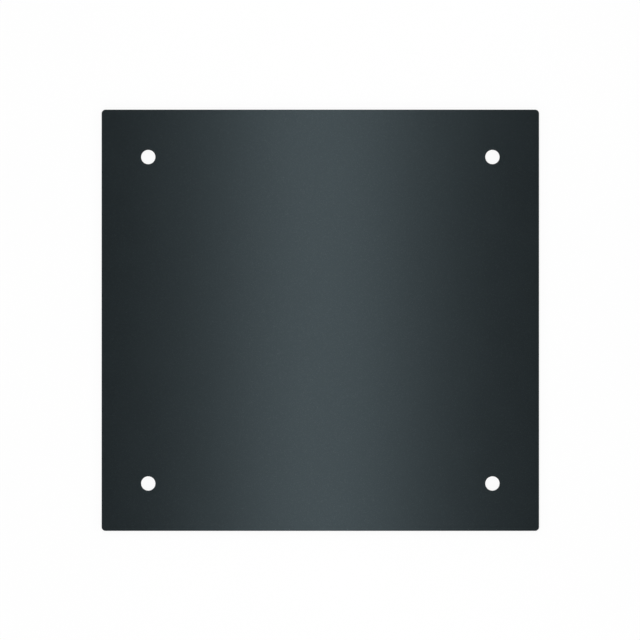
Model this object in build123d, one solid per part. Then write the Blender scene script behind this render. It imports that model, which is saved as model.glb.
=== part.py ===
from build123d import *
import os

# A flat cover plate: one piece of sheet steel, cut to a rectangle with small round corners,
# drilled for four screws, deburred and powder coated on every side.
#
# The origin is the centre of the back face, which lies against whatever the plate covers.
# +X runs along the longer side, +Y along the shorter side, and +Z out of the front face.
# All sizes are in millimetres, over the coating.

# The blank
plate_width = 168.0
plate_height = 161.8
sheet_thickness = 2.0
corner_radius = 1.5
rim_round = 0.2  # the outline's two rims, where the burr is taken off and the coating wraps round

# The screw holes, each a clearance hole for an M5 screw
hole_diameter = 5.5
hole_from_side = 17.9  # hole centre to the nearer side edge
hole_from_end = 18.2  # hole centre to the nearer top or bottom edge
mouth_chamfer = 0.2  # both mouths of each hole

# The pattern follows the edges, so the holes keep their distance from them
hole_pitch_x = plate_width - 2 * hole_from_side
hole_pitch_y = plate_height - 2 * hole_from_end


def plate_outline():
    """The cut shape of the blank, with its four holes."""
    with BuildSketch() as outline:
        RectangleRounded(plate_width, plate_height, corner_radius)
        with GridLocations(hole_pitch_x, hole_pitch_y, 2, 2):
            Circle(hole_diameter / 2, mode=Mode.SUBTRACT)
    return outline.sketch


def flat_faces(plate):
    """The back face and the front face."""
    return plate.faces().filter_by(Axis.Z)


def round_rims(plate):
    """Rounds the front and back rims of the outline."""
    rims = [edge for face in flat_faces(plate) for edge in face.outer_wire().edges()]
    return fillet(rims, rim_round)


def chamfer_mouths(plate):
    """Breaks the sharp edge at both mouths of every screw hole."""
    mouths = [
        edge
        for face in flat_faces(plate)
        for mouth in face.inner_wires()
        for edge in mouth.edges()
    ]
    return chamfer(mouths, mouth_chamfer)


def cover_plate():
    """The finished plate, its back face at Z = 0."""
    blank = extrude(plate_outline(), sheet_thickness)
    plate = chamfer_mouths(round_rims(blank))
    plate.label = "cover_plate"
    return plate


os.makedirs("parts", exist_ok=True)
export_step(cover_plate(), "parts/cover_plate.step")
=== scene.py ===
import math

import bpy
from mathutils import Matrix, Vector


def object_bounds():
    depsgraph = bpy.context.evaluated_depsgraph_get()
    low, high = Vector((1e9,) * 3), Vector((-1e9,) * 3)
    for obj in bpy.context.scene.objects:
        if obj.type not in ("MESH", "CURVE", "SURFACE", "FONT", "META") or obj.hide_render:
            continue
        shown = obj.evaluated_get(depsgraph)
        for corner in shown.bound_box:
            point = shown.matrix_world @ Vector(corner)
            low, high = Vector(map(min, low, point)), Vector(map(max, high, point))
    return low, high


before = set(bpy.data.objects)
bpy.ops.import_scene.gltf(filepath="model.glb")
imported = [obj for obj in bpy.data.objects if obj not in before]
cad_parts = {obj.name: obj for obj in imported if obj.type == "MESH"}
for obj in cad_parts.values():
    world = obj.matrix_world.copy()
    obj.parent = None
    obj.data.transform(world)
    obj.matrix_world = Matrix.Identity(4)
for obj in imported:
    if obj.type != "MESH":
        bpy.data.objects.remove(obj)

# A coated steel cover plate, lying face up on a pale floor in a small studio.
# Lengths are in metres. The plate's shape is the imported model's, and this script gives it its coat.

cadLow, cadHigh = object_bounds()
mm = 0.001
micron = 0.000001
print("Frame loaded:", ", ".join(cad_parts))


# Node helpers, used by every material

def addNode(tree, kind, inputs=None, **settings):
    node = tree.nodes.new(kind)
    for setting, value in settings.items():
        setattr(node, setting, value)
    for socket, value in (inputs or {}).items():
        if isinstance(value, bpy.types.NodeSocket):
            tree.links.new(value, node.inputs[socket])
        else:
            node.inputs[socket].default_value = value
    return node


def calculate(tree, operation, first, second):
    return addNode(tree, "ShaderNodeMath", {0: first, 1: second}, operation=operation).outputs[0]


def remap(tree, value, low, high, toLow, toHigh):
    # a value from one range to another, held inside it
    sockets = {"Value": value, "From Min": low, "From Max": high, "To Min": toLow, "To Max": toHigh}
    return addNode(tree, "ShaderNodeMapRange", sockets).outputs["Result"]


def blendColours(tree, factor, first, second):
    # on this node 0 is the factor, 6 and 7 are the two colours, and output 2 is the blend
    return addNode(tree, "ShaderNodeMix", {0: factor, 6: first, 7: second}, data_type="RGBA").outputs[2]


def newMaterial(name):
    material = bpy.data.materials.new(name)
    material.use_nodes = True
    material.node_tree.nodes.clear()
    return material


def newGroup(name, inputs, outputs):
    # inputs are name: starting value, None for a vector; outputs are names of values
    group = bpy.data.node_groups.new(name, "ShaderNodeTree")
    for socket, value in inputs.items():
        kind = "NodeSocketVector" if value is None else "NodeSocketFloat"
        made = group.interface.new_socket(name=socket, in_out="INPUT", socket_type=kind)
        if value is not None:
            made.default_value = value
    for socket in outputs:
        group.interface.new_socket(name=socket, in_out="OUTPUT", socket_type="NodeSocketFloat")
    return group, group.nodes.new("NodeGroupInput").outputs, group.nodes.new("NodeGroupOutput").inputs


def useGroup(tree, group, inputs):
    return addNode(tree, "ShaderNodeGroup", inputs, node_tree=group).outputs


# The effect that the coat and the floor share

def makeSoftPatches():
    # slow cloudy patches, 0 to 1, about one patch to each Patch Size
    group, given, result = newGroup("softPatches", {"Vector": None, "Patch Size": 10 * mm}, ["Patches"])
    scale = calculate(group, "DIVIDE", 1.0, given["Patch Size"])
    noise = addNode(group, "ShaderNodeTexNoise", {"Vector": given["Vector"], "Scale": scale, "Detail": 2.0})
    low, high = 0.3, 0.7  # the part of the noise's range that is spread over 0 to 1
    group.links.new(remap(group, noise.outputs["Fac"], low, high, 0.0, 1.0), result["Patches"])
    return group


softPatches = makeSoftPatches()
print("Shared effect made")


# The plate's coat: a smooth satin anthracite with fine metal flake in it

coatFinish = {
    "colour": (0.0282, 0.0390, 0.0435, 1),
    "metallic": 0.85,
    "roughness": 0.33,
    "roughnessDrift": 0.006,  # the most that the roughness drifts up or down between patches
    "toneDrift": 0.015,       # and the colour, as a share of itself
    "patchSize": 14 * mm,
    "rippleSize": 1.6 * mm,   # the faint orange peel that sprayed powder sets with
    "rippleHeight": 6 * micron,
    "grainSize": 0.35 * mm,   # the finer unevenness on top of it
    "grainHeight": 1.5 * micron,
    "flakeSize": 0.12 * mm,
    "flakeCover": 0.12,       # share of the surface with a flake near the top
    "flakeColour": (0.0500, 0.0660, 0.0720, 1),
}


def addPigment(tree, patches, finish):
    # the body colour, a touch darker or lighter from patch to patch
    tones = []
    for side in (-1, 1):
        shade = 1 + side * finish["toneDrift"]
        tones.append([channel * shade for channel in finish["colour"][:3]] + [1])
    return blendColours(tree, patches, tones[0], tones[1])


def addNoiseHeight(tree, place, size, height):
    noise = addNode(tree, "ShaderNodeTexNoise", {"Vector": place, "Scale": 1 / size, "Detail": 1.0})
    return calculate(tree, "MULTIPLY", noise.outputs["Fac"], height)


def addFlakes(tree, place, finish):
    # each cell is one flake, and those that lie near the top show as lighter specks
    cells = addNode(tree, "ShaderNodeTexVoronoi", {"Vector": place, "Scale": 1 / finish["flakeSize"]}).outputs
    chance = addNode(tree, "ShaderNodeSeparateColor", {"Color": cells["Color"]}).outputs["Red"]
    return remap(tree, chance, 1 - finish["flakeCover"], 1.0, 0.0, 1.0)


def makeCoat(finish):
    material = newMaterial("satinAnthraciteCoat")
    tree = material.node_tree
    place = addNode(tree, "ShaderNodeTexCoord").outputs["Object"]

    patches = useGroup(tree, softPatches, {"Vector": place, "Patch Size": finish["patchSize"]})["Patches"]
    flakes = addFlakes(tree, place, finish)
    colour = blendColours(tree, flakes, addPigment(tree, patches, finish), finish["flakeColour"])
    roughness = remap(tree, patches, 0.0, 1.0,
                      finish["roughness"] - finish["roughnessDrift"],
                      finish["roughness"] + finish["roughnessDrift"])

    ripples = addNoiseHeight(tree, place, finish["rippleSize"], finish["rippleHeight"])
    grain = addNoiseHeight(tree, place, finish["grainSize"], finish["grainHeight"])
    height = calculate(tree, "ADD", ripples, grain)
    relief = addNode(tree, "ShaderNodeBump", {"Height": height, "Distance": 1.0})

    surface = addNode(tree, "ShaderNodeBsdfPrincipled", {
        "Base Color": colour, "Roughness": roughness, "Normal": relief.outputs["Normal"],
        "Metallic": finish["metallic"]})
    addNode(tree, "ShaderNodeOutputMaterial", {"Surface": surface.outputs["BSDF"]})
    return material


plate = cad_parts["cover_plate"]
plate.material_slots[0].material = makeCoat(coatFinish)
print("Cover plate coated")


# The floor that the plate lies on

floorFinish = {
    "size": 8.0,
    "shades": ((0.94, 0.94, 0.94, 1), (0.98, 0.98, 0.98, 1)),
    "patchSize": 50 * mm,
    "shadowShare": 0.08,      # how much of the floor's look is lit, and so takes the shadow
}


def makeFloorPaint(finish):
    material = newMaterial("paleFloor")
    tree = material.node_tree
    path = addNode(tree, "ShaderNodeLightPath").outputs
    seen = calculate(tree, "MAXIMUM", path["Is Camera Ray"], path["Is Glossy Ray"])
    seen = calculate(tree, "MAXIMUM", seen, path["Is Transmission Ray"])
    place = addNode(tree, "ShaderNodeTexCoord").outputs["Object"]
    patches = useGroup(tree, softPatches, {"Vector": place, "Patch Size": finish["patchSize"]})["Patches"]
    colour = blendColours(tree, patches, *finish["shades"])

    # camera, glossy and transmission rays meet mostly flat white, and all other rays meet lit paint
    paint = addNode(tree, "ShaderNodeBsdfDiffuse", {"Color": colour}).outputs["BSDF"]
    white = addNode(tree, "ShaderNodeEmission", {"Color": (1, 1, 1, 1), "Strength": 1.0}).outputs["Emission"]
    share = calculate(tree, "MULTIPLY", seen, 1 - finish["shadowShare"])
    surface = addNode(tree, "ShaderNodeMixShader", {0: share, 1: paint, 2: white}).outputs["Shader"]
    addNode(tree, "ShaderNodeOutputMaterial", {"Surface": surface})
    return material


def makeFloor(finish):
    half = finish["size"] / 2
    ground = cadLow.z
    mesh = bpy.data.meshes.new("floor")
    corners = [(-half, -half, ground), (half, -half, ground), (half, half, ground), (-half, half, ground)]
    mesh.from_pydata(corners, [], [(0, 1, 2, 3)])
    floor = bpy.data.objects.new("floor", mesh)
    bpy.context.scene.collection.objects.link(floor)
    floor.data.materials.append(makeFloorPaint(finish))


makeFloor(floorFinish)
print("Floor laid")


# The studio: pale low walls, a dark ceiling, a long strip light over the plate, whose reflection is the soft
# band down its middle, and a low soft light on each side

studio = {
    "walls": ((0, 1.0), (10, 0.6), (35, 0.6), (60, 0.08)),  # degrees above the floor, brightness
    "stripHeight": 0.27,
    "stripWidth": 0.04,
    "stripLength": 0.9,
    "stripLevel": 5.0,        # a level is how bright a lamp's face looks, where 1 is white
    "sideDistance": 0.5,
    "sideHeight": 0.32,
    "sideWidth": 0.12,
    "sideLength": 0.8,
    "sideLevel": 2.2,
}


def makeWalls(look):
    world = bpy.data.worlds.new("studioWalls")
    bpy.context.scene.world = world
    world.use_nodes = True
    tree = world.node_tree
    tree.nodes.clear()
    upward = addNode(tree, "ShaderNodeTexCoord").outputs["Generated"]
    height = addNode(tree, "ShaderNodeSeparateXYZ", {"Vector": upward}).outputs["Z"]
    ramp = addNode(tree, "ShaderNodeValToRGB", {"Fac": height})
    stops = ramp.color_ramp.elements
    for index, (elevation, level) in enumerate(look["walls"]):
        position = math.sin(math.radians(elevation))
        stop = stops[index] if index < 2 else stops.new(position)  # a new ramp has two stops
        stop.position = position
        stop.color = (level, level, level, 1)
    sky = addNode(tree, "ShaderNodeBackground", {"Color": ramp.outputs["Color"]}).outputs["Background"]
    addNode(tree, "ShaderNodeOutputWorld", {"Surface": sky})


def makeLamp(name, length, width, level, place):
    # a lamp that faces the plate's middle
    data = bpy.data.lights.new(name, "AREA")
    data.shape = "RECTANGLE"
    data.size = length
    data.size_y = width
    data.energy = level * math.pi * length * width
    lamp = bpy.data.objects.new(name, data)
    lamp.location = place
    lamp.rotation_euler = Vector(place).to_track_quat("Z", "Y").to_euler()  # it shines along its own -Z
    lamp.visible_camera = False
    bpy.context.scene.collection.objects.link(lamp)


def makeLights(look):
    makeLamp("stripLight", look["stripWidth"], look["stripLength"], look["stripLevel"],
             (0, 0, look["stripHeight"]))
    for index, name in enumerate(("rightLight", "backLight", "leftLight", "frontLight")):
        around = index * math.pi / 2
        place = (look["sideDistance"] * math.cos(around), look["sideDistance"] * math.sin(around),
                 look["sideHeight"])
        makeLamp(name, look["sideLength"], look["sideWidth"], look["sideLevel"], place)


makeWalls(studio)
makeLights(studio)
print("Studio lit")


# The camera, straight above the plate

view = {
    "distance": 2.0,
    "plateShare": 0.6836,     # the plate's width, as a share of the picture's
    "offset": (-0.13 * mm, 0.10 * mm),  # how far off the plate's middle it stands
    "sensorWidth": 36.0,
    "farthest": 100,          # the camera draws nothing beyond this distance
}


def makeCamera(look):
    data = bpy.data.cameras.new("camera")
    pictureWidth = (cadHigh.x - cadLow.x) / look["plateShare"]
    data.sensor_width = look["sensorWidth"]
    data.lens = look["sensorWidth"] * look["distance"] / pictureWidth
    data.clip_end = look["farthest"]
    camera = bpy.data.objects.new("camera", data)
    across, along = look["offset"]
    camera.location = (across, along, cadHigh.z + look["distance"])
    bpy.context.scene.collection.objects.link(camera)
    bpy.context.scene.camera = camera


makeCamera(view)
bpy.context.scene.view_settings.view_transform = "Standard"
print("Camera placed")
